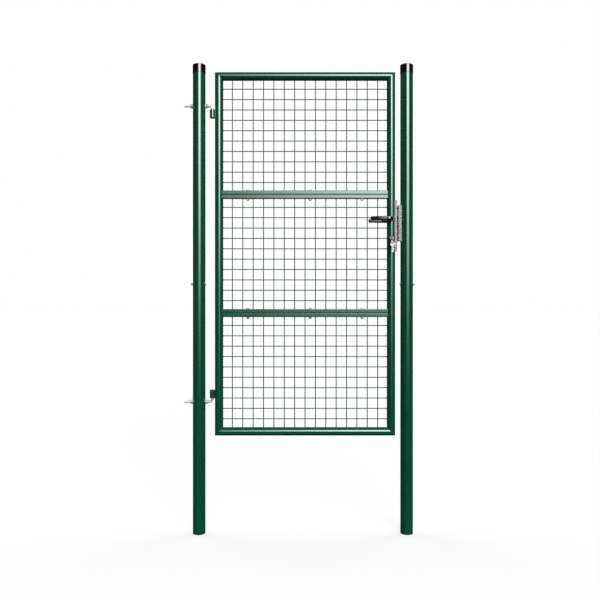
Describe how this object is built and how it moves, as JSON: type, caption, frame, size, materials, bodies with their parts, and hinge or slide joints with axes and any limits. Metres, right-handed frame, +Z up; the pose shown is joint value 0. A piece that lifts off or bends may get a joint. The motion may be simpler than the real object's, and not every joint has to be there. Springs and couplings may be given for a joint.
{
  "type": "mesh garden gate",
  "caption": "Single garden gate: a tube-framed leaf in bolted sections with welded wire mesh, hung on round capped posts, with a lever lock, key and strike.",
  "frame": {"origin": "centre of the hinge post's foot", "axes": "+Z up along the hinge post, +X towards the latch post, +Y away from the side the leaf opens to"},
  "size_m": [1.1136, 0.133, 2.255],
  "materials": {
    "green_paint": "gloss powder coat",
    "galvanised": "galvanised",
    "zinc_plate": "bright zinc",
    "cap_plastic": "gloss black",
    "lever_black": "satin black",
    "nickel": "nickel plated",
    "brass": "satin"
  },
  "bodies": {
    "posts": {"hinge_post_lower": "green_paint", "hinge_post_upper": "green_paint", "hinge_post_spigot": "galvanised", "hinge_post_cap": "cap_plastic", "hinge_post_bolt": "zinc_plate", "latch_post_lower": "green_paint", "latch_post_upper": "green_paint", "latch_post_spigot": "galvanised", "latch_post_cap": "cap_plastic", "latch_post_bolt": "zinc_plate", "upper_hinge_bolt": "zinc_plate", "lower_hinge_bolt": "zinc_plate", "upper_hinge_nuts": "zinc_plate", "lower_hinge_nuts": "zinc_plate", "strike": "galvanised"},
    "leaf": {"hinge_stile_top": "green_paint", "hinge_stile_middle": "green_paint", "hinge_stile_bottom": "green_paint", "lock_stile_top": "green_paint", "lock_stile_middle": "green_paint", "lock_stile_bottom": "green_paint", "top_rail": "green_paint", "bottom_rail": "green_paint", "top_section_sill": "green_paint", "middle_section_head": "green_paint", "middle_section_sill": "green_paint", "bottom_section_head": "green_paint", "top_mesh": "green_paint", "middle_mesh": "green_paint", "bottom_mesh": "green_paint", "upper_hinge_sleeve": "green_paint", "lower_hinge_sleeve": "green_paint", "upper_rail_bolts": "zinc_plate", "lower_rail_bolts": "zinc_plate", "lock_forend": "galvanised", "lock_case": "galvanised", "lock_cylinder": "nickel"},
    "lever": {"front_lever": "lever_black", "rear_lever": "lever_black", "spindle": "galvanised"},
    "latch": {"latch_bolt": "nickel"},
    "deadbolt": {"dead_bolt": "nickel"},
    "key_set": {"cylinder_plug": "brass", "key": "nickel", "key_ring": "nickel", "spare_keys": "nickel"}
  },
  "joints": [
    {"name": "gate_swing", "type": "hinge", "parent": "posts", "child": "leaf", "pos_m": [0.064, 0, 1.345], "axis": [0, 0, -1], "range_deg": [0, 110]},
    {"name": "lever_turn", "type": "hinge", "parent": "leaf", "child": "lever", "pos_m": [0.9245, 0, 1.511], "axis": [0, -1, 0], "range_deg": [0, 40], "stiffness_Nm_per_rad": 1.2, "springref_deg": -34.38},
    {"name": "latch_slide", "type": "slide", "parent": "leaf", "child": "latch", "axis": [-1, 0, 0], "range_m": [0, 0.012]},
    {"name": "key_turn", "type": "hinge", "parent": "leaf", "child": "key_set", "pos_m": [0.9245, 0, 1.419], "axis": [0, -1, 0], "range_deg": [0, 360]},
    {"name": "deadbolt_slide", "type": "slide", "parent": "leaf", "child": "deadbolt", "axis": [1, 0, 0], "range_m": [0, 0.012]}
  ],
  "couplings": [
    {"joint": "latch_slide", "follows": "lever_turn", "m_per_rad": 0.017189},
    {"joint": "deadbolt_slide", "follows": "key_turn", "m_per_rad": 0.0019099}
  ]
}
